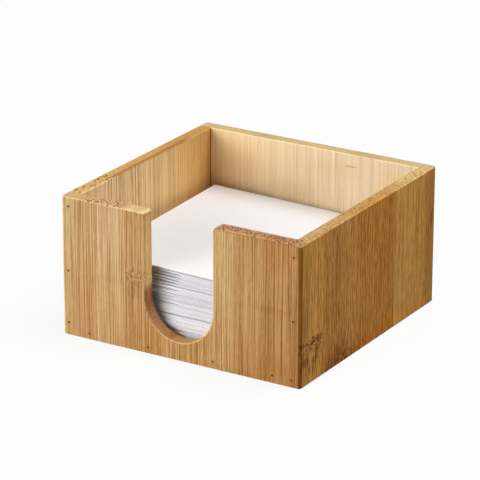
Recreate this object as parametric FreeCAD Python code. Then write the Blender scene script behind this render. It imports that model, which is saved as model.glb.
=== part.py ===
import FreeCAD, Part
import math
import os

# Sizes in millimetres. The origin is the middle of the underside, +Z is up, and the finger notch faces -Y.

# Loose note sheets, which set the size of the well together with the play round them.
SHEET_SIDE = 90.0
SIDE_PLAY = 3.35
END_PLAY = 2.6
STACK_HEIGHT = 27.0
TOP_SHEETS_HEIGHT = 0.9
STACK_DROP = 3.0
STACK_TURN_SHARE = 0.5

# Bamboo boards. The front board is a little thicker than the back board and the side boards.
FRONT_THICKNESS = 6.2
BOARD_THICKNESS = 5.4
BASE_THICKNESS = 5.5
WALL_HEIGHT = 57.5

# Finger notch in the front board, a little left of the middle, with a round bottom and a rounded mouth.
NOTCH_WIDTH = 31.0
NOTCH_OFFSET = 0.3
NOTCH_BOTTOM = 7.6
NOTCH_MOUTH_RADIUS = 1.5

# Sanding of the glued and nailed box.
EDGE_EASE = 0.6
CORNER_EASE = 1.5

# Headed brads of flat wire, driven just below the surface.
BRAD_LENGTH = 16.0
BRAD_SHANK_WIDTH = 0.75
BRAD_WIRE_THICKNESS = 0.85
BRAD_HEAD_WIDTH = 1.1
BRAD_HEAD_THICKNESS = 0.5
BRAD_POINT_LENGTH = 1.6
BRAD_SET_DEPTH = 0.25

# One overrun serves every cut, and places closer than the nearness are the same.
OVERRUN = 5.0
NEARNESS = 0.01

WELL_WIDTH = SHEET_SIDE + 2 * SIDE_PLAY
WELL_DEPTH = SHEET_SIDE + 2 * END_PLAY
HOLDER_WIDTH = WELL_WIDTH + 2 * BOARD_THICKNESS
HOLDER_DEPTH = FRONT_THICKNESS + WELL_DEPTH + BOARD_THICKNESS
WELL_FRONT_Y = FRONT_THICKNESS - HOLDER_DEPTH / 2
WELL_CENTRE_Y = WELL_FRONT_Y + WELL_DEPTH / 2

# Brads of a corner: (place across the side board's thickness, from its inner face; place up the wall).
LEFT_BRAD_SHARES = ((0.49, 0.093), (0.46, 0.47), (0.36, 0.933))
RIGHT_BRAD_SHARES = ((0.29, 0.055), (0.41, 0.466), (0.42, 0.911))

# Brads of the base: (place along half the well; place up the base board's thickness).
BASE_BRAD_SHARES = ((-0.853, 0.47), (-0.293, 0.475), (0.313, 0.565), (0.862, 0.6))

# Bundles of the stack, from the bottom: (turn; shift along X; shift along Y), of what the play leaves.
BUNDLE_SHARES = (
    (0.04, -0.25, -0.2),
    (-0.06, 0.1, 0.15),
    (0.05, -0.1, -0.3),
    (-0.02, 0.2, 0.05),
    (0.1, -0.15, 0.1),
    (0.02, 0.05, -0.1),
    (0.16, 0.15, 0.2),
    (0.1, -0.05, 0.0),
    (0.28, 0.2, 0.25),
    (0.4, 0.3, 0.2),
    (0.62, 0.45, 0.5),
    (0.85, 0.6, 0.55),
)
TOP_SHEETS_SHARES = (1.0, 0.75, 0.6)


def centred_block(side_x, side_y, height):
    """Block that stands on the ground plane, centred on the origin."""
    corner = FreeCAD.Vector(-side_x / 2, -side_y / 2, 0)
    return Part.makeBox(side_x, side_y, height, corner)


def well_block(height):
    """Block as wide and deep as the well, standing on the ground plane where the well is."""
    block = centred_block(WELL_WIDTH, WELL_DEPTH, height)
    block.translate(FreeCAD.Vector(0, WELL_CENTRE_Y, 0))
    return block


def notch_cutter():
    """The notch as one profile: round bottom, straight sides and a mouth that rolls out to the rim."""
    half = NOTCH_WIDTH / 2
    mouth = half + NOTCH_MOUTH_RADIUS
    centre_z = NOTCH_BOTTOM + half
    roll_z = WALL_HEIGHT - NOTCH_MOUTH_RADIUS
    roll_reach = NOTCH_MOUTH_RADIUS * math.sqrt(0.5)
    top_z = WALL_HEIGHT + OVERRUN
    face_y = -HOLDER_DEPTH / 2 - OVERRUN

    def at(x, z):
        return FreeCAD.Vector(x - NOTCH_OFFSET, face_y, z)

    edges = [
        Part.Arc(at(-half, centre_z), at(0, NOTCH_BOTTOM), at(half, centre_z)).toShape(),
        Part.makeLine(at(half, centre_z), at(half, roll_z)),
        Part.Arc(
            at(half, roll_z), at(mouth - roll_reach, roll_z + roll_reach), at(mouth, WALL_HEIGHT)
        ).toShape(),
        Part.makeLine(at(mouth, WALL_HEIGHT), at(mouth, top_z)),
        Part.makeLine(at(mouth, top_z), at(-mouth, top_z)),
        Part.makeLine(at(-mouth, top_z), at(-mouth, WALL_HEIGHT)),
        Part.Arc(
            at(-mouth, WALL_HEIGHT), at(roll_reach - mouth, roll_z + roll_reach), at(-half, roll_z)
        ).toShape(),
        Part.makeLine(at(-half, roll_z), at(-half, centre_z)),
    ]
    profile = Part.Face(Part.Wire(edges))
    return profile.extrude(FreeCAD.Vector(0, FRONT_THICKNESS + 2 * OVERRUN, 0))


def lies_at(edge, axis, place):
    """Whether all of an edge lies in the plane where the axis has this value."""
    low = getattr(edge.BoundBox, axis + "Min")
    high = getattr(edge.BoundBox, axis + "Max")
    return abs(low - place) < NEARNESS and abs(high - place) < NEARNESS


def is_rim_edge(edge):
    """Whether an edge runs along the rim, and not across it where the notch's mouth rolls out."""
    mouth = NOTCH_WIDTH / 2 + NOTCH_MOUTH_RADIUS
    across = lies_at(edge, "X", mouth - NOTCH_OFFSET) or lies_at(edge, "X", -mouth - NOTCH_OFFSET)
    return lies_at(edge, "Z", WALL_HEIGHT) and not across


def is_foot_edge(edge):
    """Whether an edge runs round the outside of the underside."""
    middle = edge.CenterOfMass
    beside_well = abs(middle.x) > WELL_WIDTH / 2 + NEARNESS
    beyond_well = abs(middle.y - WELL_CENTRE_Y) > WELL_DEPTH / 2 + NEARNESS
    return lies_at(edge, "Z", 0) and (beside_well or beyond_well)


def is_notch_edge(edge):
    """Whether an edge runs along the notch on the front board's outer or inner face."""
    bounds = edge.BoundBox
    mouth = NOTCH_WIDTH / 2 + NOTCH_MOUTH_RADIUS + NEARNESS
    within_mouth = bounds.XMin > -mouth - NOTCH_OFFSET and bounds.XMax < mouth - NOTCH_OFFSET
    on_face = lies_at(edge, "Y", -HOLDER_DEPTH / 2) or lies_at(edge, "Y", WELL_FRONT_Y)
    return within_mouth and bounds.ZMax > NOTCH_BOTTOM and on_face


def sanded_walls():
    """All four walls as one ring, with the notch cut and every edge eased, as sanded after assembly."""
    block = centred_block(HOLDER_WIDTH, HOLDER_DEPTH, WALL_HEIGHT)
    uprights = [edge for edge in block.Edges if edge.BoundBox.ZMin < NEARNESS < edge.BoundBox.ZMax]
    block = block.makeFillet(CORNER_EASE, uprights)
    well = well_block(WALL_HEIGHT + 2 * OVERRUN)
    well.translate(FreeCAD.Vector(0, 0, -OVERRUN))
    walls = block.cut(well).cut(notch_cutter())
    sanded = [edge for edge in walls.Edges if is_rim_edge(edge) or is_foot_edge(edge) or is_notch_edge(edge)]
    return walls.makeFillet(EDGE_EASE, sanded)


def board(walls, side_x, side_y, centre_x, centre_y):
    """One board of the ring of walls, cut out where its own block stands."""
    block = centred_block(side_x, side_y, WALL_HEIGHT)
    block.translate(FreeCAD.Vector(centre_x, centre_y, 0))
    return walls.common(block)


def flat_brad(outer_end):
    """One brad along +Y: the outline of its head, shank and chisel point, as thick as its wire.

    The underside of the head is a head's thickness from zero, and the head reaches out to outer_end.
    """
    head = BRAD_HEAD_WIDTH / 2
    shank = BRAD_SHANK_WIDTH / 2
    bottom = -BRAD_WIRE_THICKNESS / 2
    point_y = BRAD_LENGTH - BRAD_POINT_LENGTH
    outline = [
        FreeCAD.Vector(-head, outer_end, bottom),
        FreeCAD.Vector(head, outer_end, bottom),
        FreeCAD.Vector(head, BRAD_HEAD_THICKNESS, bottom),
        FreeCAD.Vector(shank, BRAD_HEAD_THICKNESS, bottom),
        FreeCAD.Vector(shank, point_y, bottom),
        FreeCAD.Vector(0, BRAD_LENGTH, bottom),
        FreeCAD.Vector(-shank, point_y, bottom),
        FreeCAD.Vector(-shank, BRAD_HEAD_THICKNESS, bottom),
        FreeCAD.Vector(-head, BRAD_HEAD_THICKNESS, bottom),
        FreeCAD.Vector(-head, outer_end, bottom),
    ]
    profile = Part.Face(Part.makePolygon(outline))
    return profile.extrude(FreeCAD.Vector(0, 0, BRAD_WIRE_THICKNESS))


def placed_brads(places, from_back, outer_end):
    """Brads at these (x, z) places, driven in from the front face, or from the back face."""
    head_y = -HOLDER_DEPTH / 2 + BRAD_SET_DEPTH
    brads = []
    for place_x, place_z in places:
        brad = flat_brad(outer_end)
        brad.translate(FreeCAD.Vector(place_x, head_y, place_z))
        if from_back:
            brad = brad.mirror(FreeCAD.Vector(0, 0, 0), FreeCAD.Vector(0, 1, 0))
        brads.append(brad)
    return Part.makeCompound(brads)


def corner_places(shares, side):
    """Places of a corner's brads in the end of the side board on this side, -1 or 1."""
    places = []
    for across_share, up_share in shares:
        place_x = side * (WELL_WIDTH / 2 + across_share * BOARD_THICKNESS)
        places.append((place_x, up_share * WALL_HEIGHT))
    return places


def base_places():
    """Places of the row of brads in the edge of the base board."""
    places = []
    for along_share, up_share in BASE_BRAD_SHARES:
        places.append((along_share * WELL_WIDTH / 2, up_share * BASE_THICKNESS))
    return places


def stack_level(level_share, place_x):
    """Point at one level of the stack: the higher the level, the more it leans down to the right."""
    lean_share = level_share ** 2
    drop = STACK_DROP * lean_share * place_x / SHEET_SIDE
    return FreeCAD.Vector(place_x, -SHEET_SIDE, BASE_THICKNESS + STACK_HEIGHT * level_share - drop)


def sheet_bundle(low_share, high_share, turn_share, shift_x_share, shift_y_share):
    """Square sheets between two levels of the stack, turned and shifted within the play."""
    outline = [
        stack_level(low_share, -SHEET_SIDE),
        stack_level(low_share, SHEET_SIDE),
        stack_level(high_share, SHEET_SIDE),
        stack_level(high_share, -SHEET_SIDE),
        stack_level(low_share, -SHEET_SIDE),
    ]
    layer = Part.Face(Part.makePolygon(outline)).extrude(FreeCAD.Vector(0, 2 * SHEET_SIDE, 0))
    corner_sweep = STACK_TURN_SHARE * turn_share * min(SIDE_PLAY, END_PLAY)
    turn = math.degrees(math.asin(2 * corner_sweep / SHEET_SIDE))
    shift_x = shift_x_share * (SIDE_PLAY - abs(corner_sweep))
    shift_y = shift_y_share * (END_PLAY - abs(corner_sweep))
    sheets = centred_block(SHEET_SIDE, SHEET_SIDE, BASE_THICKNESS + STACK_HEIGHT + STACK_DROP)
    sheets.rotate(FreeCAD.Vector(0, 0, 0), FreeCAD.Vector(0, 0, 1), turn)
    sheets.translate(FreeCAD.Vector(shift_x, WELL_CENTRE_Y + shift_y, 0))
    return layer.common(sheets)


def stack_parts():
    """The stack of note sheets, as bundles that lie on each other, and the few sheets on top."""
    parts = {}
    top_share = 1 - TOP_SHEETS_HEIGHT / STACK_HEIGHT
    count = len(BUNDLE_SHARES)
    for index, shares in enumerate(BUNDLE_SHARES):
        low_share = top_share * index / count
        high_share = top_share * (index + 1) / count
        parts["memo_sheets_%02d" % (index + 1)] = sheet_bundle(low_share, high_share, *shares)
    parts["top_sheets"] = sheet_bundle(top_share, 1, *TOP_SHEETS_SHARES)
    return parts


def holder_parts():
    """Five boards and the brads that nail the front and back boards to the other three."""
    walls = sanded_walls()
    front_middle = (FRONT_THICKNESS - HOLDER_DEPTH) / 2
    back_middle = (HOLDER_DEPTH - BOARD_THICKNESS) / 2
    side_middle = (HOLDER_WIDTH - BOARD_THICKNESS) / 2
    boards = {
        "front_panel": board(walls, HOLDER_WIDTH, FRONT_THICKNESS, 0, front_middle),
        "back_panel": board(walls, HOLDER_WIDTH, BOARD_THICKNESS, 0, back_middle),
        "left_side_panel": board(walls, BOARD_THICKNESS, WELL_DEPTH, -side_middle, WELL_CENTRE_Y),
        "right_side_panel": board(walls, BOARD_THICKNESS, WELL_DEPTH, side_middle, WELL_CENTRE_Y),
        "base_panel": well_block(BASE_THICKNESS),
    }
    left_places = corner_places(LEFT_BRAD_SHARES, -1)
    right_places = corner_places(RIGHT_BRAD_SHARES, 1)
    brads = {}
    for end, from_back in (("front", False), ("back", True)):
        joined = (
            ("left", left_places, "left_side_panel"),
            ("right", right_places, "right_side_panel"),
            ("base", base_places(), "base_panel"),
        )
        for corner, places, carrier in joined:
            brads["%s_%s_brads" % (end, corner)] = placed_brads(places, from_back, 0)
            holes = placed_brads(places, from_back, -BRAD_SET_DEPTH - OVERRUN)
            boards[end + "_panel"] = boards[end + "_panel"].cut(holes)
            boards[carrier] = boards[carrier].cut(holes)
    return {**boards, **brads}


def solid_group(shape):
    """The shape's solids, alone or as one group."""
    solids = shape.Solids
    if len(solids) == 1:
        return solids[0]
    return Part.makeCompound(solids)


os.makedirs("parts", exist_ok=True)
for node, shape in {**holder_parts(), **stack_parts()}.items():
    solid_group(shape).exportStep("parts/%s.step" % node)
    box = shape.BoundBox
    print("%-18s solids %2d  volume %9.1f  z %.2f to %.2f" % (
        node, len(shape.Solids), shape.Volume, box.ZMin, box.ZMax))
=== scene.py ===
import math
import random

import bmesh
import bpy
from mathutils import Matrix, Vector


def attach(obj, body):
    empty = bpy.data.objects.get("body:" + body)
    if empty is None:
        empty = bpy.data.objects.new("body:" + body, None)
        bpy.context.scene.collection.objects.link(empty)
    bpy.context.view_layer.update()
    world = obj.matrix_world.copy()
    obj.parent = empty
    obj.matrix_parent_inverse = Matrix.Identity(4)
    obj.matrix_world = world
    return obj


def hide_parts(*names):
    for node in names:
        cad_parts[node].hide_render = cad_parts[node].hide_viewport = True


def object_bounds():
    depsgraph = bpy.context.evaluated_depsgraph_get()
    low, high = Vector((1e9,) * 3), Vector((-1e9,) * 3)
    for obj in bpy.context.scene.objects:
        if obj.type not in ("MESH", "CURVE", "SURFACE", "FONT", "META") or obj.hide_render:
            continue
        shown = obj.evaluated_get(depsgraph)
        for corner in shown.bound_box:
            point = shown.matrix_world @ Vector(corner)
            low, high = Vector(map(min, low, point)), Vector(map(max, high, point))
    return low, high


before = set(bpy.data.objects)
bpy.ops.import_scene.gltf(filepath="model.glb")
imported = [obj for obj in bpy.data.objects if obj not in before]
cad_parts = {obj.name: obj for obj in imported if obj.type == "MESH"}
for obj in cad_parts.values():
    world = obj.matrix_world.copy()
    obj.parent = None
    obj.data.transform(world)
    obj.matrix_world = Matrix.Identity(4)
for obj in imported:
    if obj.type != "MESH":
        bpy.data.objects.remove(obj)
cad_box = [list(corner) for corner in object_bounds()]


# Front board, with the finger notch.
# It is 6.2 mm bamboo, glued up from strips whose fibres stand upright, and the notch is routed and sanded.
# It is nailed over the ends of the side boards and the base board, and shows its own edge at the corner.
MM_PER_METRE = 1000.0
HALF_WIDTH = cad_box[1][0] * MM_PER_METRE
BOX_HEIGHT = cad_box[1][2] * MM_PER_METRE

WHITE = (1.0, 1.0, 1.0)
FIBRE_DARK = (0.66, 0.54, 0.40)
FIBRE_PALE = (1.20, 1.27, 1.40)
FIBRE_HUES = ((0.0, FIBRE_DARK), (0.5, WHITE), (1.0, FIBRE_PALE))
PORE_DARK = (0.155, 0.054, 0.010)
SCAR_DARK = (0.165, 0.052, 0.008)
# Rounded arrises are paler sanded wood, with a painted highlight on top.
ARRIS_PALE_AND_HIGHLIGHT = (1.30, 1.41, 1.54)

# Each pattern is given by its scale, its detail and its roughness.
WANDER = (0.016, 1.0, 0.5)
JAGS = (0.5, 2.0, 0.5)
FINE_FIBRES = (2.0, 1.0, 1.0)
BROAD_FIBRES = (0.25, 2.0, 0.5)
THIN_LINES = (2.3, 0.0, 0.5)
SHORT_DASHES = (2.6, 2.0, 0.6)
STREAKS = (1.0, 2.0, 0.6)
PATTERN_MIDDLE = 0.5
FIBRE_STRETCH = 0.009
DASH_STRETCH = 0.10
WANDER_REACH = 1.6

# A knuckle is two jagged creases with a paler band between them, and the fibres zigzag across it.
KNUCKLE_CREASES = ((0.0, 1.0), (-3.2, 0.8))
CREASE_EDGE = (1.3, 0.1)
CREASE_WEIGHT = -0.5
CREASE_STAIN = 0.5
PALE_BAND_LEVEL = -1.6
PALE_BAND_EDGE = (1.1, 0.4)
PALE_BAND_WEIGHT = 0.5
JAG_RISE = 11.0
JAG_SHIFT = 6.0

FINE_WEIGHT = 3.6
BROAD_WEIGHT = 0.4
PALE_LINES = (0.61, 0.67)
PALE_LINE_WEIGHT = 0.4
DARK_LINES = (0.39, 0.33)
DARK_LINE_WEIGHT = -0.5
DASH_WEIGHT = 3.6
OUTSIDE_SOFT = 0.5

PORE_SCALE = 0.95
PORE_EDGE = (0.58, 0.34)
PORE_CHANCE = (0.1, 0.3)
PORE_CROWDS = (0.34, 0.46)
CUT_END_FACING = (0.45, 0.8)
CUT_END_LINES = 0.5
SCAR_EDGE = (0.50, 0.58)
ARRIS_FACING = (0.985, 0.88)

BOARD_ROUGHNESS = (0.62, 0.5)
BOARD_SPECULAR = 0.03
BOARD_BUMP = 0.00004
BOARD_BUMP_STRENGTH = 0.7
PORE_DEPTH = 0.5

# Sockets where a mix node takes its two colours and gives the mixed one.
MIX_SHADES = (6, 7)
MIX_RESULT = 2


def put(tree, kind, output, inputs, **settings):
    """Adds one node to a finish, sets it, feeds it and gives its output back."""
    node = tree.nodes.new("ShaderNode" + kind)
    for name, value in settings.items():
        setattr(node, name, value)
    for socket, value in inputs.items():
        if isinstance(value, bpy.types.NodeSocket):
            tree.links.new(value, node.inputs[socket])
        else:
            node.inputs[socket].default_value = value
    return node.outputs[output]


def calc(tree, operation, first, second=0.0, third=0.0):
    """One sum on numbers."""
    return put(tree, "Math", 0, {0: first, 1: second, 2: third}, operation=operation)


def added(tree, value, weight, under):
    """A value at its weight, on top of what is there."""
    return calc(tree, "MULTIPLY_ADD", value, weight, under)


def swing(tree, pattern):
    """How far a pattern lies above or below its middle."""
    return calc(tree, "SUBTRACT", pattern, PATTERN_MIDDLE)


def ease(tree, value, zero_at, one_at):
    """Rises smoothly from 0 where the value is zero_at to 1 where it is one_at."""
    inputs = {"Value": value, "From Min": zero_at, "From Max": one_at}
    return put(tree, "MapRange", 0, inputs, interpolation_type="SMOOTHSTEP")


def span(tree, value, low, high):
    """Runs evenly from low to high while the value goes from 0 to 1."""
    return put(tree, "MapRange", 0, {"Value": value, "To Min": low, "To Max": high})


def noise(tree, place, pattern, grain=1.0):
    """An even random pattern, made finer by the grain."""
    scale, detail, roughness = pattern
    inputs = {"Vector": place, "Scale": scale * grain, "Detail": detail, "Roughness": roughness}
    return put(tree, "TexNoise", 0, inputs)


def tint(tree, factor, under, over, way="MIX"):
    """Lays one colour over another."""
    inputs = {0: factor, MIX_SHADES[0]: under, MIX_SHADES[1]: over}
    return put(tree, "Mix", MIX_RESULT, inputs, data_type="RGBA", blend_type=way)


def solid(colour):
    """A colour as the four numbers that a socket takes."""
    return (*colour, 1.0)


def parted(tree, vector):
    """The three numbers of a vector."""
    node = tree.nodes.new("ShaderNodeSeparateXYZ")
    tree.links.new(vector, node.inputs[0])
    return list(node.outputs)


def spot(tree, across, along, centre, reach):
    """1 at a place on a board, falling to 0 at its reach across and along the fibres."""
    off_across = calc(tree, "DIVIDE", calc(tree, "SUBTRACT", across, centre[0]), reach[0])
    off_along = calc(tree, "DIVIDE", calc(tree, "SUBTRACT", along, centre[1]), reach[1])
    square = added(tree, off_along, off_along, calc(tree, "MULTIPLY", off_across, off_across))
    return ease(tree, square, 1.0, 0.0)


def block_mask(tree, place, limits):
    """1 inside a block, whose limits are a low end, a high end and a softness along each coordinate."""
    inside = 1.0
    for value, (low, high, soft) in zip(place, limits):
        inside = calc(tree, "MULTIPLY", inside, ease(tree, value, low - soft, low + soft))
        inside = calc(tree, "MULTIPLY", inside, ease(tree, value, high + soft, high - soft))
    return inside


def banded(tree, value, stops):
    """A colour that changes evenly from one stop to the next."""
    start = stops[0][0]
    width = stops[-1][0] - start
    ramp = tree.nodes.new("ShaderNodeValToRGB")
    share = calc(tree, "DIVIDE", calc(tree, "SUBTRACT", value, start), width)
    tree.links.new(share, ramp.inputs[0])
    elements = ramp.color_ramp.elements
    for index, (stop, colour) in enumerate(stops):
        element = elements[index] if index < 2 else elements.new(1.0)
        element.position = (stop - start) / width
        element.color = solid(colour)
    return ramp.outputs[0]


def knuckle_marks(tree, across, along, slow, moved, knuckles):
    """The creases and the paler band of each knuckle, and the fibres' places with their zigzag."""
    creases = pale_band = 0.0
    for centre, reach, strength in knuckles:
        jag = swing(tree, noise(tree, slow, JAGS))
        near = calc(tree, "MULTIPLY", spot(tree, across, along, centre, reach), strength)
        rise = added(tree, jag, JAG_RISE, calc(tree, "SUBTRACT", along, centre[1]))
        for level, part in KNUCKLE_CREASES:
            off = calc(tree, "ABSOLUTE", calc(tree, "SUBTRACT", rise, level))
            depth = calc(tree, "MULTIPLY", near, part)
            crease = calc(tree, "MULTIPLY", ease(tree, off, *CREASE_EDGE), depth)
            creases = calc(tree, "MAXIMUM", creases, crease)
        off = calc(tree, "ABSOLUTE", calc(tree, "SUBTRACT", rise, PALE_BAND_LEVEL))
        band = calc(tree, "MULTIPLY", ease(tree, off, *PALE_BAND_EDGE), near)
        pale_band = calc(tree, "MAXIMUM", pale_band, band)
        moved = added(tree, calc(tree, "MULTIPLY", jag, near), JAG_SHIFT, moved)
    return creases, pale_band, moved


def open_pores(tree, dashed):
    """The vessels that show as dark pits in a cut end. Some of them are closed."""
    pores = tree.nodes.new("ShaderNodeTexVoronoi")
    tree.links.new(dashed, pores.inputs["Vector"])
    pores.inputs["Scale"].default_value = PORE_SCALE
    pit = ease(tree, pores.outputs["Distance"], *PORE_EDGE)
    chance = parted(tree, pores.outputs["Color"])[0]
    return calc(tree, "MULTIPLY", pit, ease(tree, chance, *PORE_CHANCE))


def new_finish(name):
    """A new finish with its nodes and its shader."""
    finish = bpy.data.materials.new(name)
    finish.use_nodes = True
    return finish, finish.node_tree, finish.node_tree.nodes["Principled BSDF"]


def emboss(tree, shader, height, distance, strength):
    """Gives a finish its relief."""
    bump = put(tree, "Bump", 0, {"Height": height, "Distance": distance, "Strength": strength})
    tree.links.new(bump, shader.inputs["Normal"])


# How open the pores are along a board's rim, as places across it. PAST_END lies beyond any board's end.
PAST_END = 54.0
OPEN_PITS = (1.0, 1.0, 1.0)
HALF_PITS = (0.35, 0.35, 0.35)
CLOSED_PITS = (0.12, 0.12, 0.12)
EVEN_PITS = ((-PAST_END, OPEN_PITS), (PAST_END, OPEN_PITS))


def bamboo(name, axes, strips, rim, lines, dashes, grain=1.0, pits=EVEN_PITS, knuckles=(), scars=(),
           stains=(), bold=(), patches=(), outside=None, seed=0.0):
    """Sanded bamboo as a solid material, so that faces show fibres and cut ends show their pores.

    All places are in millimetres from the middle of the box's underside. axes are the coordinates
    across the board, through it and along its fibres. strips are places across it, each with its
    colour, and rim is the colour of its cut ends. lines and dashes are how strongly long fibres and
    short vessels show, and grain is how fine they are. pits are how open the pores are.

    Knuckles, scars, stains and bold places each open with a centre and a reach, across and along, and
    end with a strength. At a knuckle the fibres zigzag, a scar is a group of dark streaks with their
    stretch, a stain has a shade, and a bold place changes how strong the lines are. patches are blocks,
    each with its limits and its shade. outside is the depth at which a board's outer face starts, with
    that face's line strength and shade.
    """
    finish, tree, shader = new_finish(name)
    here = put(tree, "TexCoord", "Object", {})
    grown = put(tree, "VectorMath", 0, {0: here, 1: (MM_PER_METRE,) * 3}, operation="MULTIPLY")
    place = parted(tree, grown)
    across, through, along = [place[axis] for axis in axes]
    facing = parted(tree, put(tree, "TexCoord", "Normal", {}))
    facing = [calc(tree, "ABSOLUTE", part) for part in facing]

    # Fibres run almost straight, apart from the knuckles.
    slow = put(tree, "CombineXYZ", 0, {0: across, 1: through, 2: calc(tree, "ADD", along, seed)})
    moved = added(tree, swing(tree, noise(tree, slow, WANDER)), WANDER_REACH, across)
    creases, pale_band, moved = knuckle_marks(tree, across, along, slow, moved, knuckles)
    drawn = added(tree, along, FIBRE_STRETCH, seed)
    fibre = put(tree, "CombineXYZ", 0, {0: moved, 1: through, 2: drawn})
    drawn = added(tree, along, DASH_STRETCH, seed)
    dashed = put(tree, "CombineXYZ", 0, {0: moved, 1: through, 2: drawn})
    fine = noise(tree, fibre, FINE_FIBRES, grain)
    broad = noise(tree, fibre, BROAD_FIBRES)
    thin = noise(tree, fibre, THIN_LINES, grain)
    dash = noise(tree, dashed, SHORT_DASHES, grain)
    pore = open_pores(tree, dashed)

    # The colour of the strips, with the fibres laid over it.
    tone = added(tree, swing(tree, fine), FINE_WEIGHT * lines, PATTERN_MIDDLE)
    tone = added(tree, swing(tree, broad), BROAD_WEIGHT * lines, tone)
    tone = added(tree, ease(tree, thin, *PALE_LINES), PALE_LINE_WEIGHT * lines, tone)
    tone = added(tree, ease(tree, thin, *DARK_LINES), DARK_LINE_WEIGHT * lines, tone)
    tone = added(tree, swing(tree, dash), DASH_WEIGHT * dashes, tone)
    tone = added(tree, pale_band, PALE_BAND_WEIGHT, tone)
    tone = added(tree, creases, CREASE_WEIGHT, tone)
    boost = 1.0
    for centre, reach, strength in bold:
        boost = added(tree, spot(tree, across, along, centre, reach), strength, boost)
    if outside:
        depth, line_factor, outer_shade = outside
        outer = ease(tree, calc(tree, "ABSOLUTE", through), depth, depth + OUTSIDE_SOFT)
        boost = added(tree, outer, line_factor - 1.0, boost)
    tone = added(tree, swing(tree, tone), boost, PATTERN_MIDDLE)
    hue = banded(tree, tone, FIBRE_HUES)
    colour = tint(tree, 1.0, banded(tree, moved, strips), hue, "MULTIPLY")
    colour = tint(tree, calc(tree, "MULTIPLY", creases, CREASE_STAIN), colour, solid(SCAR_DARK))
    if outside:
        colour = tint(tree, outer, colour, solid(outer_shade), "MULTIPLY")

    # Cut ends have open pores, crowded in some places, in an even ground.
    cut_end = ease(tree, facing[axes[2]], *CUT_END_FACING)
    lined = tint(tree, 1.0, solid(rim), hue, "MULTIPLY")
    ground = tint(tree, CUT_END_LINES, solid(rim), lined)
    crowd = calc(tree, "MULTIPLY", ease(tree, broad, *PORE_CROWDS), banded(tree, across, pits))
    ground = tint(tree, calc(tree, "MULTIPLY", pore, crowd), ground, solid(PORE_DARK))
    colour = tint(tree, cut_end, colour, ground)

    for centre, reach, shade, strength in stains:
        worn = calc(tree, "MULTIPLY", spot(tree, across, along, centre, reach), strength)
        colour = tint(tree, worn, colour, solid(shade), "MULTIPLY")
    for centre, reach, stretch, strength in scars:
        drawn = calc(tree, "MULTIPLY", along, stretch)
        streak = put(tree, "CombineXYZ", 0, {0: across, 1: through, 2: drawn})
        streak = ease(tree, noise(tree, streak, STREAKS), *SCAR_EDGE)
        scar = calc(tree, "MULTIPLY", spot(tree, across, along, centre, reach), strength)
        colour = tint(tree, calc(tree, "MULTIPLY", scar, streak), colour, solid(SCAR_DARK))

    # Arrises are paler, partly as sanded wood and partly as a painted highlight.
    flat = calc(tree, "MAXIMUM", calc(tree, "MAXIMUM", facing[0], facing[1]), facing[2])
    colour = tint(tree, ease(tree, flat, *ARRIS_FACING), colour, solid(ARRIS_PALE_AND_HIGHLIGHT), "MULTIPLY")
    # The patches are browned places, a paler rim, a scratch, a darker end strip, and painted light and
    # shade.
    for limits, shade in patches:
        mask = block_mask(tree, (across, through, along), limits)
        colour = tint(tree, mask, colour, solid(shade), "MULTIPLY")

    tree.links.new(colour, shader.inputs["Base Color"])
    tree.links.new(span(tree, tone, *BOARD_ROUGHNESS), shader.inputs["Roughness"])
    shader.inputs["Specular IOR Level"].default_value = BOARD_SPECULAR
    height = calc(tree, "SUBTRACT", fine, calc(tree, "MULTIPLY", pore, PORE_DEPTH))
    emboss(tree, shader, height, BOARD_BUMP, BOARD_BUMP_STRENGTH)
    return finish


def dress(node, finish):
    """Gives a CAD node its finish."""
    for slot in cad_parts[node].material_slots:
        slot.material = finish


# A board that runs from left to right, with upright fibres. A stain that is centred above the rim tints
# nothing but the rim.
LEFT_TO_RIGHT = (0, 1, 2)
ABOVE_RIM = BOX_HEIGHT + 1.0
RIM_SKIN = (BOX_HEIGHT - 0.7, BOX_HEIGHT + 0.5, 0.3)
FRONT_DEPTH = (-54.0, -46.0, 0.3)
FRONT_STRIPS = (
    (-HALF_WIDTH, (0.61, 0.397, 0.187)),
    (-49.0, (0.60, 0.376, 0.171)),
    (-44.0, (0.57, 0.335, 0.150)),
    (-37.8, (0.59, 0.350, 0.155)),
    (-37.3, (0.70, 0.469, 0.241)),
    (-36.6, (0.70, 0.469, 0.241)),
    (-36.2, (0.63, 0.407, 0.198)),
    (-24.8, (0.62, 0.386, 0.177)),
    (-24.3, (0.54, 0.304, 0.123)),
    (-13.0, (0.54, 0.299, 0.112)),
    (0.0, (0.54, 0.304, 0.118)),
    (15.0, (0.57, 0.340, 0.139)),
    (17.0, (0.61, 0.381, 0.166)),
    (23.6, (0.60, 0.376, 0.161)),
    (24.2, (0.52, 0.294, 0.116)),
    (38.0, (0.51, 0.278, 0.109)),
    (53.2, (0.50, 0.263, 0.103)),
    (53.6, (0.71, 0.352, 0.082)),
    (HALF_WIDTH, (0.71, 0.352, 0.082)),
)
FRONT_RIM = (0.60, 0.366, 0.155)
FRONT_PITS = (
    (-PAST_END, CLOSED_PITS),
    (-47.0, CLOSED_PITS),
    (-43.0, OPEN_PITS),
    (-28.0, OPEN_PITS),
    (-25.0, CLOSED_PITS),
    (-16.0, CLOSED_PITS),
    (-12.0, HALF_PITS),
    (-3.0, CLOSED_PITS),
    (14.5, CLOSED_PITS),
    (16.0, OPEN_PITS),
    (PAST_END, OPEN_PITS),
)
FRONT_KNUCKLES = (
    ((-20.0, 31.3), (5.5, 5.5), 0.6),
    ((HALF_WIDTH, 16.0), (1.2, 4.5), 1.0),
)
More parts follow.
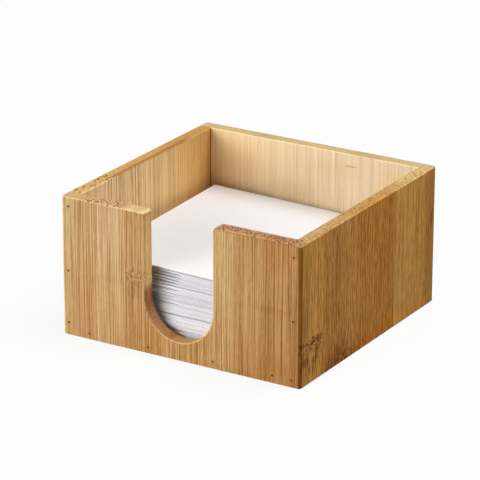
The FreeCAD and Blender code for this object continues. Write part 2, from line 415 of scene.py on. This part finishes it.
FRONT_SCARS = (
    ((HALF_WIDTH, 28.0), (1.2, 34.0), 0.06, 0.30),
    ((HALF_WIDTH, 9.0), (1.2, 7.0), 0.15, 0.70),
    ((-20.5, 25.5), (4.5, 5.0), 0.15, 0.35),
    ((1.5, 3.0), (1.5, 2.0), 0.4, 0.4),
    ((40.0, 29.5), (12.0, 1.6), 1.5, 0.2),
    ((25.0, 1.5), (20.0, 1.8), 0.4, 0.3),
)
FRONT_STAINS = (
    ((20.0, 0.0), (60.0, 26.0), (1.0, 0.92, 0.78), 0.9),
    ((-45.0, 0.0), (35.0, 45.0), (1.0, 0.94, 0.84), 0.9),
    ((-30.0, 27.5), (8.0, 2.0), (0.95, 0.90, 0.84), 0.8),
    ((40.0, 29.5), (12.0, 2.5), (0.96, 0.91, 0.86), 0.8),
    ((43.0, 53.0), (9.0, 12.0), (0.96, 0.86, 0.70), 0.9),
    # The next two stains make the upper part of the face lighter.
    ((-40.0, 55.0), (32.0, 34.0), (1.07, 1.11, 1.16), 0.9),
    ((32.0, 55.0), (26.0, 32.0), (1.07, 1.09, 1.10), 0.9),
    ((41.0, 6.0), (8.0, 8.0), (0.94, 0.82, 0.72), 0.8),
    ((2.0, 3.0), (15.0, 7.0), (1.05, 1.12, 1.18), 0.9),
)
FRONT_BOLD = (
    ((0.0, 3.0), (18.0, 9.0), 0.60),
    ((-40.0, 30.0), (24.0, 50.0), -0.22),
)
# The notch's left wall is lighter above the stack's top, which is painted light, and darker below it, which
# is painted shade.
NOTCH_WALL_PAINTED_LIGHT = ((-17.5, -14.0, 0.3), (-53.1, -47.0, 0.3), (26.5, 56.4, 2.5))
NOTCH_WALL_PAINTED_SHADE = ((-17.5, -4.0, 0.3), (-52.9, -47.4, 0.3), (5.0, 26.5, 2.5))
RIM_BY_NOTCH = ((-24.5, -14.0, 1.5), FRONT_DEPTH, RIM_SKIN)
RIM_AT_RIGHT = ((16.0, 52.0, 2.0), FRONT_DEPTH, RIM_SKIN)
RIGHT_END = ((52.5, 60.0, 0.3), (-60.0, -52.2, 0.4), (-5.0, 56.8, 0.3))
FRONT_PATCHES = (
    (NOTCH_WALL_PAINTED_LIGHT, (1.60, 1.90, 2.15)),
    (NOTCH_WALL_PAINTED_SHADE, (0.77, 0.66, 0.70)),
    (RIM_BY_NOTCH, (1.18, 1.25, 1.30)),
    (RIGHT_END, (0.46, 0.30, 0.13)),
    (RIM_AT_RIGHT, (0.79, 0.68, 0.67)),
)
front_bamboo = bamboo(
    "front_board_bamboo",
    LEFT_TO_RIGHT,
    FRONT_STRIPS,
    FRONT_RIM,
    lines=0.8,
    dashes=0.3,
    grain=1.15,
    pits=FRONT_PITS,
    knuckles=FRONT_KNUCKLES,
    scars=FRONT_SCARS,
    stains=FRONT_STAINS,
    bold=FRONT_BOLD,
    patches=FRONT_PATCHES,
    seed=3.0,
)
dress("front_panel", front_bamboo)


# Back board.
# It is the same bamboo without a notch, 5.4 mm thick, and is nailed on in the same way.
# Its inner face is the palest one, with a fine scratch, and its outer face is darker.
# Towards the left end the strips are paler, which is painted light.
BACK_STRIPS_AND_PAINTED_LIGHT = (
    (-HALF_WIDTH, (0.72, 0.465, 0.215)),
    (-53.3, (0.72, 0.465, 0.215)),
    (-52.5, (0.90, 0.647, 0.334)),
    (-36.0, (0.90, 0.678, 0.392)),
    (-10.0, (0.80, 0.616, 0.386)),
    (20.0, (0.74, 0.600, 0.393)),
    (50.0, (0.74, 0.600, 0.393)),
    (53.4, (0.54, 0.265, 0.059)),
    (HALF_WIDTH, (0.54, 0.265, 0.059)),
)
BACK_RIM = (0.61, 0.43, 0.200)
BACK_PITS = ((-PAST_END, CLOSED_PITS), (PAST_END, CLOSED_PITS))
BACK_STAINS = (
    ((-32.0, 46.0), (14.0, 9.0), (0.98, 0.93, 0.87), 0.9),
    ((-41.0, 38.0), (6.0, 16.0), (0.99, 0.94, 0.88), 0.9),
    ((-10.0, 38.0), (12.0, 5.0), (0.96, 0.91, 0.84), 0.8),
    ((10.0, 50.0), (16.0, 5.0), (0.97, 0.92, 0.86), 0.8),
    ((36.0, 43.0), (9.0, 14.0), (1.0, 0.92, 0.82), 0.8),
    ((-23.0, ABOVE_RIM), (10.0, 2.0), (0.85, 0.84, 0.78), 1.0),
    ((24.0, ABOVE_RIM), (14.0, 2.0), (0.87, 0.86, 0.78), 1.0),
)
END_MARK = ((52.5, 60.0, 0.3), (49.3, 50.9, 0.5), (33.5, 40.0, 2.0))
INNER_SCRATCH = ((15.6, 20.2, 0.6), (46.0, 49.0, 0.5), (52.0, 52.5, 0.2))
BACK_PATCHES = (
    (END_MARK, (0.55, 0.42, 0.30)),
    (INNER_SCRATCH, (0.66, 0.58, 0.52)),
)
BACK_OUTSIDE = (51.5, 4.5, (0.72, 0.60, 0.46))
back_bamboo = bamboo(
    "back_board_bamboo",
    LEFT_TO_RIGHT,
    BACK_STRIPS_AND_PAINTED_LIGHT,
    BACK_RIM,
    lines=0.18,
    dashes=0.06,
    grain=0.9,
    pits=BACK_PITS,
    stains=BACK_STAINS,
    patches=BACK_PATCHES,
    outside=BACK_OUTSIDE,
    seed=41.0,
)
dress("back_panel", back_bamboo)


# Side boards.
# Two shorter boards of 5.4 mm bamboo stand between the front and back boards, with upright fibres too.
# The left one has painted shade in its rear inner corner, and the right one a dark knuckle low at the
# front.
FRONT_TO_BACK = (1, 0, 2)
LEFT_STRIPS = (
    (-HALF_WIDTH, (0.81, 0.567, 0.302)),
    (-20.0, (0.82, 0.587, 0.312)),
    (5.0, (0.82, 0.567, 0.281)),
    (25.0, (0.76, 0.489, 0.198)),
    (HALF_WIDTH, (0.56, 0.262, 0.061)),
)
LEFT_RIM = (0.62, 0.333, 0.078)
LEFT_PITS = (
    (-PAST_END, OPEN_PITS),
    (-26.0, OPEN_PITS),
    (-18.0, CLOSED_PITS),
    (PAST_END, CLOSED_PITS),
)
LEFT_STAINS = (
    ((-44.0, ABOVE_RIM), (42.0, 2.0), (1.18, 1.38, 1.62), 1.0),
    ((32.0, ABOVE_RIM), (32.0, 2.0), (0.85, 0.75, 0.71), 1.0),
)
LEFT_BOLD = (((-17.0, 50.0), (22.0, 30.0), 1.2),)
# A darker strip in the rear inner corner, which is painted shade.
CORNER_PAINTED_SHADE = ((47.2, 48.4, 0.3), (-48.8, -47.9, 0.3), (20.0, 57.4, 0.3))
# The rim's inner arris is darker, which is painted shade.
RIM_INNER_PAINTED_SHADE = ((-26.0, 30.0, 3.0), (-49.6, -48.2, 0.3), (56.9, 58.0, 0.3))
LEFT_PATCHES = (
    (CORNER_PAINTED_SHADE, (0.50, 0.36, 0.28)),
    (RIM_INNER_PAINTED_SHADE, (0.66, 0.50, 0.36)),
)
LEFT_OUTSIDE = (52.0, 2.4, (0.78, 0.68, 0.58))
left_bamboo = bamboo(
    "left_board_bamboo",
    FRONT_TO_BACK,
    LEFT_STRIPS,
    LEFT_RIM,
    lines=0.31,
    dashes=0.13,
    grain=0.85,
    pits=LEFT_PITS,
    stains=LEFT_STAINS,
    bold=LEFT_BOLD,
    patches=LEFT_PATCHES,
    outside=LEFT_OUTSIDE,
    seed=77.0,
)
dress("left_side_panel", left_bamboo)

RIGHT_STRIPS = (
    (-HALF_WIDTH, (0.80, 0.409, 0.098)),
    (-37.0, (0.78, 0.380, 0.090)),
    (-36.0, (0.66, 0.297, 0.079)),
    (-24.0, (0.62, 0.278, 0.068)),
    (-14.0, (0.72, 0.352, 0.091)),
    (-8.0, (0.66, 0.297, 0.058)),
    (19.0, (0.62, 0.267, 0.049)),
    (20.0, (0.80, 0.420, 0.112)),
    (44.0, (0.73, 0.363, 0.082)),
    (47.0, (0.57, 0.238, 0.046)),
    (HALF_WIDTH, (0.60, 0.284, 0.061)),
)
RIGHT_RIM = (0.60, 0.37, 0.140)
RIGHT_PITS = ((-PAST_END, (0.62, 0.62, 0.62)), (PAST_END, (0.50, 0.50, 0.50)))
RIGHT_KNUCKLES = (((-43.0, 16.8), (7.5, 6.0), 1.6),)
RIGHT_SCARS = (
    ((-43.0, 16.3), (6.5, 2.8), 0.8, 0.85),
    ((-44.0, 9.5), (8.5, 8.0), 0.15, 1.0),
    ((-32.0, 1.5), (5.0, 3.5), 0.6, 1.0),
    ((-22.0, 1.5), (15.0, 4.5), 0.4, 1.0),
    ((-24.0, 6.0), (15.0, 8.0), 0.15, 0.55),
)
RIGHT_STAINS = (
    ((25.0, 2.0), (35.0, 6.0), (1.12, 0.92, 0.70), 0.8),
    ((-30.0, 48.0), (8.0, 14.0), (0.96, 0.94, 1.0), 0.6),
    ((-25.0, 3.0), (16.0, 7.0), (0.86, 0.68, 0.46), 0.9),
    ((-5.0, 2.0), (9.0, 4.0), (1.02, 0.78, 0.55), 0.8),
    ((2.0, ABOVE_RIM), (34.0, 2.0), (0.97, 0.78, 0.47), 1.0),
    ((42.0, ABOVE_RIM), (24.0, 2.0), (1.20, 1.32, 1.40), 1.0),
)
RIGHT_BOLD = (((-16.0, 26.0), (46.0, 46.0), 0.75),)
right_bamboo = bamboo(
    "right_board_bamboo",
    FRONT_TO_BACK,
    RIGHT_STRIPS,
    RIGHT_RIM,
    lines=0.64,
    dashes=0.68,
    grain=0.80,
    pits=RIGHT_PITS,
    knuckles=RIGHT_KNUCKLES,
    scars=RIGHT_SCARS,
    stains=RIGHT_STAINS,
    bold=RIGHT_BOLD,
    seed=113.0,
)
dress("right_side_panel", right_bamboo)


# Base board.
# It is a square of the same bamboo that lies between the four walls, flush with their lower edges.
# Its fibres run from side to side, and the front and back boards are nailed into it.
LYING_FLAT = (1, 2, 0)
BASE_EDGE = 48.25
BASE_STRIPS = (
    (-BASE_EDGE, (0.60, 0.385, 0.175)),
    (-24.0, (0.54, 0.310, 0.125)),
    (0.0, (0.62, 0.395, 0.185)),
    (24.0, (0.53, 0.300, 0.120)),
    (BASE_EDGE, (0.59, 0.365, 0.155)),
)
base_bamboo = bamboo(
    "base_board_bamboo",
    LYING_FLAT,
    BASE_STRIPS,
    FRONT_RIM,
    lines=0.8,
    dashes=0.4,
    seed=151.0,
)
dress("base_panel", base_bamboo)


# Brads.
# They are headed pins of flat steel wire, driven through the front and back boards into the others.
# Their heads are set just under the surface, and have gone dull and brown.
BRAD_DARK = (0.140, 0.046, 0.007)
BRAD_BROWN = (0.270, 0.100, 0.020)
BRAD_PATCHES = (2500.0, 3.0, 0.5)
BRAD_PATCH_EDGE = (0.4, 0.6)
BRAD_ROUGHNESS = (0.7, 0.45)
BRAD_METALLIC = 0.05
BRAD_SPECULAR = 0.05
BRAD_BUMP = 0.00003
BRAD_BUMP_STRENGTH = 0.6


def brad_steel():
    """Dull steel, browned by age in patches."""
    finish, tree, shader = new_finish("browned_brad_steel")
    patch = noise(tree, put(tree, "TexCoord", "Object", {}), BRAD_PATCHES)
    browned = ease(tree, patch, *BRAD_PATCH_EDGE)
    colour = tint(tree, browned, solid(BRAD_DARK), solid(BRAD_BROWN))
    tree.links.new(colour, shader.inputs["Base Color"])
    tree.links.new(span(tree, browned, *BRAD_ROUGHNESS), shader.inputs["Roughness"])
    shader.inputs["Metallic"].default_value = BRAD_METALLIC
    shader.inputs["Specular IOR Level"].default_value = BRAD_SPECULAR
    emboss(tree, shader, patch, BRAD_BUMP, BRAD_BUMP_STRENGTH)
    return finish


browned_steel = brad_steel()
for end in ("front", "back"):
    for carrier in ("left", "right", "base"):
        dress("%s_%s_brads" % (end, carrier), browned_steel)


# Note sheets.
# Loose sheets of 90 mm white paper, a tenth of a millimetre thick, lie in the well, each a little askew.
# A few hang back and leave a dark slit, and some are folded back at their left front corner.
PAPER_WHITE = (0.915, 0.912, 0.930)
PAPER_EDGE = (0.81, 0.795, 0.84)
PAPER_PAINTED_SHADE = (0.62, 0.61, 0.68)
PULP = (900.0, 4.0, 0.5)
PULP_EDGE = (0.3, 0.7)
PULP_SHADE = (0.98, 0.98, 0.98)
CUT_EDGE_FACING = (0.7, 0.3)
STACK_LEAN = 0.034
SHADED_LAYER_SPREAD = (12.0, 12.0, 1300.0)
SHADED_LAYERS = (1.0, 3.0, 0.7)
SHADED_LAYER_EDGE = (0.56, 0.34)
PAPER_ROUGHNESS = 0.85
PAPER_SPECULAR = 0.2
PAPER_BUMP = 0.00001
PAPER_BUMP_STRENGTH = 0.4

CORNER_DIGITS = 6
SHEET_PITCH = 0.000105
SHEET_FILL_SHARE = 0.95
SHEET_SHIFT = 0.00012
SHEET_DRIFT = 0.00035
DRIFT_STEP = 0.3
BUNDLE_COUNT = 12
DEALING_SEED = 5

# Heights where a slit or a fold starts, each with its number of sheets.
SLIT_DEPTH = 0.002
SLIT_LEVELS = (
    (0.0315, 3),
    (0.0257, 4),
    (0.0229, 1),
    (0.0204, 1),
    (0.0143, 4),
    (0.0102, 1),
    (0.0079, 3),
)
FOLD_DEPTH = 0.018
FOLD_START_SHARE = 0.43
FOLD_LEVELS = (
    (0.0302, 6),
    (0.0291, 7),
    (0.0279, 6),
    (0.0267, 7),
    (0.0243, 5),
    (0.0216, 4),
    (0.0186, 4),
)


def note_paper():
    """Matt white paper, with cut edges that are cooler and darker in bands up the stack, as painted shade
    between groups of sheets.
    """
    finish, tree, shader = new_finish("matt_note_paper")
    place = put(tree, "TexCoord", "Object", {})
    facing_up = parted(tree, put(tree, "TexCoord", "Normal", {}))[2]
    cut_edge = ease(tree, calc(tree, "ABSOLUTE", facing_up), *CUT_EDGE_FACING)
    leaning = {"Vector": place, "Scale": SHADED_LAYER_SPREAD, "Rotation": (0.0, STACK_LEAN, 0.0)}
    # Darker bands up the cut edges are painted shade between groups of sheets.
    shaded_layer = noise(tree, put(tree, "Mapping", 0, leaning), SHADED_LAYERS)
    edge = tint(tree, ease(tree, shaded_layer, *SHADED_LAYER_EDGE), solid(PAPER_EDGE), solid(PAPER_PAINTED_SHADE))
    pulp = noise(tree, place, PULP)
    pulp_shade = ease(tree, pulp, *PULP_EDGE)
    face = tint(tree, pulp_shade, solid(PAPER_WHITE), solid(PULP_SHADE), "MULTIPLY")
    tree.links.new(tint(tree, cut_edge, face, edge), shader.inputs["Base Color"])
    shader.inputs["Roughness"].default_value = PAPER_ROUGHNESS
    shader.inputs["Specular IOR Level"].default_value = PAPER_SPECULAR
    emboss(tree, shader, pulp, PAPER_BUMP, PAPER_BUMP_STRENGTH)
    return finish


def bundle_corners(node):
    """The bundle's four upright edges in order round the sheet, each as its lower and upper end."""
    edges = {}
    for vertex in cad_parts[node].data.vertices:
        upright = (round(vertex.co.x, CORNER_DIGITS), round(vertex.co.y, CORNER_DIGITS))
        edges.setdefault(upright, []).append(vertex.co.z)
    middle = sum((Vector(upright) for upright in edges), Vector((0, 0))) / len(edges)
    in_order = sorted(edges, key=lambda corner: math.atan2(corner[1] - middle.y, corner[0] - middle.x))
    lower = [Vector((*upright, min(edges[upright]))) for upright in in_order]
    upper = [Vector((*upright, max(edges[upright]))) for upright in in_order]
    return list(zip(lower, upper))


def in_run(level, runs):
    """Whether a height lies within one of the runs of sheets."""
    return any(0 <= level - start < sheets * SHEET_PITCH for start, sheets in runs)


def fold_corner(placed, left_front, right_front):
    """Folds a sheet's left front corner back, from a place along its front edge."""
    ends = zip(placed[left_front], placed[right_front])
    fold = [left.lerp(right, FOLD_START_SHARE) for left, right in ends]
    for end in placed[left_front]:
        end.y += FOLD_DEPTH
    placed.insert(left_front + 1, fold)


def sheet_pile(name, node, body, paper, dealt):
    """One bundle as separate sheets, each a thin slab that is shifted a little."""
    corners = bundle_corners(node)
    by_depth = sorted(range(len(corners)), key=lambda index: corners[index][0].y)
    front = sorted(by_depth[:2], key=lambda index: corners[index][0].x)
    height = sum(upper.z - lower.z for lower, upper in corners) / len(corners)
    count = round(height / SHEET_PITCH)
    pile = bmesh.new()
    drift = 0.0
    for sheet in range(count):
        shares = (sheet / count, (sheet + SHEET_FILL_SHARE) / count)
        drift = max(-1.0, min(1.0, drift + dealt.uniform(-DRIFT_STEP, DRIFT_STEP)))
        shift = Vector((dealt.uniform(-1, 1), dealt.uniform(-1, 1), 0)) * SHEET_SHIFT
        shift.y += drift * SHEET_DRIFT
        front_edge = [corners[index][0].lerp(corners[index][1], shares[0]) for index in front]
        level = sum(end.z for end in front_edge) / len(front_edge)
        placed = []
        for index, (lower, upper) in enumerate(corners):
            held_back = index in front and in_run(level, SLIT_LEVELS)
            back = Vector((0, SLIT_DEPTH if held_back else 0, 0))
            placed.append([lower.lerp(upper, share) + shift + back for share in shares])
        if in_run(level, FOLD_LEVELS):
            fold_corner(placed, *front)
        face = pile.faces.new([pile.verts.new(ends[0]) for ends in placed])
        grown = bmesh.ops.extrude_face_region(pile, geom=[face])
        for vertex in grown["geom"]:
            if isinstance(vertex, bmesh.types.BMVert):
                vertex.co = min(placed, key=lambda ends: (ends[0] - vertex.co).length)[1]
    bmesh.ops.recalc_face_normals(pile, faces=pile.faces)
    mesh = bpy.data.meshes.new(name)
    pile.to_mesh(mesh)
    pile.free()
    mesh.materials.append(paper)
    piece = bpy.data.objects.new(name, mesh)
    bpy.context.scene.collection.objects.link(piece)
    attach(piece, body)
    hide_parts(node)


white_paper = note_paper()
dealing = random.Random(DEALING_SEED)
for number in range(1, BUNDLE_COUNT + 1):
    bundle = "memo_sheets_%02d" % number
    sheet_pile("loose_" + bundle, bundle, "memo_stack", white_paper, dealing)
sheet_pile("loose_top_sheets", "top_sheets", "top_sheets", white_paper, dealing)


# Floor.
# It is a plain white table top, which the camera sees as white.
# Only a faint shadow under the box shows on it.
FLOOR_REACH = 4.0
FLOOR_CUTS = 4
FLOOR_DROP = 0.00005
FLOOR_SEEN = (0.85, 0.85, 0.85)
FLOOR_BOUNCE = (0.15, 0.15, 0.15)
SHADOW_SHARE = 0.10

floor_grid = bmesh.new()
bmesh.ops.create_grid(floor_grid, x_segments=FLOOR_CUTS, y_segments=FLOOR_CUTS, size=FLOOR_REACH)
bmesh.ops.translate(floor_grid, vec=(0, 0, -FLOOR_DROP), verts=floor_grid.verts)
floor_mesh = bpy.data.meshes.new("white_floor")
floor_grid.to_mesh(floor_mesh)
floor_grid.free()
floor = bpy.data.objects.new("white_floor", floor_mesh)
bpy.context.scene.collection.objects.link(floor)


def seen_directly(tree):
    """1 for what the camera sees straight, in a reflection or through glass, and 0 for the light itself."""
    path = tree.nodes.new("ShaderNodeLightPath")
    seen = calc(tree, "MAXIMUM", path.outputs["Is Camera Ray"], path.outputs["Is Glossy Ray"])
    return calc(tree, "MAXIMUM", seen, path.outputs["Is Transmission Ray"])


floor_paint, paint_tree, paint_shader = new_finish("white_floor_paint")
paint_tree.nodes.remove(paint_shader)
floor_seen = seen_directly(paint_tree)
matt_colour = tint(paint_tree, floor_seen, solid(FLOOR_BOUNCE), solid(FLOOR_SEEN))
matt = put(paint_tree, "BsdfDiffuse", 0, {"Color": matt_colour})
white = put(paint_tree, "Emission", 0, {"Color": solid(WHITE), "Strength": 1.0})
glow = calc(paint_tree, "MULTIPLY", floor_seen, 1.0 - SHADOW_SHARE)
mixed = put(paint_tree, "MixShader", 0, {0: glow, 1: matt, 2: white})
paint_tree.links.new(mixed, paint_tree.nodes["Material Output"].inputs["Surface"])
floor_mesh.materials.append(floor_paint)


# Light.
# It is a white room with a wide soft lamp low at the front left and another one high up at the rear right.
# A third, weak one behind the box at the left lights the back and left boards.
ROOM_LEVEL = 0.10
KEY_WATTS = 25.0
KEY_SIZE = 0.9
KEY_PLACE = (-0.570, -1.355, 0.300)
REAR_WATTS = 20.5
REAR_SIZE = 1.2
REAR_PLACE = (0.610, 0.352, 1.324)
BACK_WATTS = 6.0
BACK_SIZE = 0.9
BACK_PLACE = (-0.900, 1.100, 0.330)

room = bpy.data.worlds.new("white_room")
bpy.context.scene.world = room
room.use_nodes = True
room_tree = room.node_tree
room_light = room_tree.nodes["Background"]
room_light.inputs["Color"].default_value = solid(WHITE)
room_level = span(room_tree, seen_directly(room_tree), ROOM_LEVEL, 1.0)
room_tree.links.new(room_level, room_light.inputs["Strength"])


def soft_lamp(name, place, watts, size):
    """A square white soft box that points at the foot of the box of notes."""
    lamp = bpy.data.lights.new(name, "AREA")
    lamp.energy = watts
    lamp.size = size
    stand = bpy.data.objects.new(name, lamp)
    stand.location = place
    stand.rotation_euler = (-Vector(place)).to_track_quat("-Z", "Y").to_euler()
    bpy.context.scene.collection.objects.link(stand)


soft_lamp("key_lamp", KEY_PLACE, KEY_WATTS, KEY_SIZE)
soft_lamp("rear_lamp", REAR_PLACE, REAR_WATTS, REAR_SIZE)
soft_lamp("back_lamp", BACK_PLACE, BACK_WATTS, BACK_SIZE)


# Camera.
# It stands to the front right and looks down on the box.
# Its long lens gives the flat perspective of a catalogue picture.
CAMERA_TURN = math.radians(31.2626)
CAMERA_RISE = math.radians(20.4935)
CAMERA_ROLL = math.radians(0.05705)
CAMERA_DISTANCE = 1.164326
CAMERA_AIM_RIGHT = -0.0043797
CAMERA_AIM_UP = 0.0305239
CAMERA_LENS = 219.242
CAMERA_SENSOR = 36.0

level_right = Vector((math.cos(CAMERA_TURN), math.sin(CAMERA_TURN), 0))
look_back = Vector((
    math.sin(CAMERA_TURN) * math.cos(CAMERA_RISE),
    -math.cos(CAMERA_TURN) * math.cos(CAMERA_RISE),
    math.sin(CAMERA_RISE),
))
level_up = look_back.cross(level_right)
aim = level_right * CAMERA_AIM_RIGHT + level_up * CAMERA_AIM_UP
look_right = level_right * math.cos(CAMERA_ROLL) + level_up * math.sin(CAMERA_ROLL)
look_up = look_back.cross(look_right)
camera_data = bpy.data.cameras.new("catalogue_camera")
camera_data.lens = CAMERA_LENS
camera_data.sensor_width = CAMERA_SENSOR
camera = bpy.data.objects.new("catalogue_camera", camera_data)
camera.location = aim + look_back * CAMERA_DISTANCE
camera.rotation_euler = Matrix((look_right, look_up, look_back)).transposed().to_euler()
bpy.context.scene.collection.objects.link(camera)
bpy.context.scene.camera = camera
bpy.context.scene.view_settings.view_transform = "Standard"
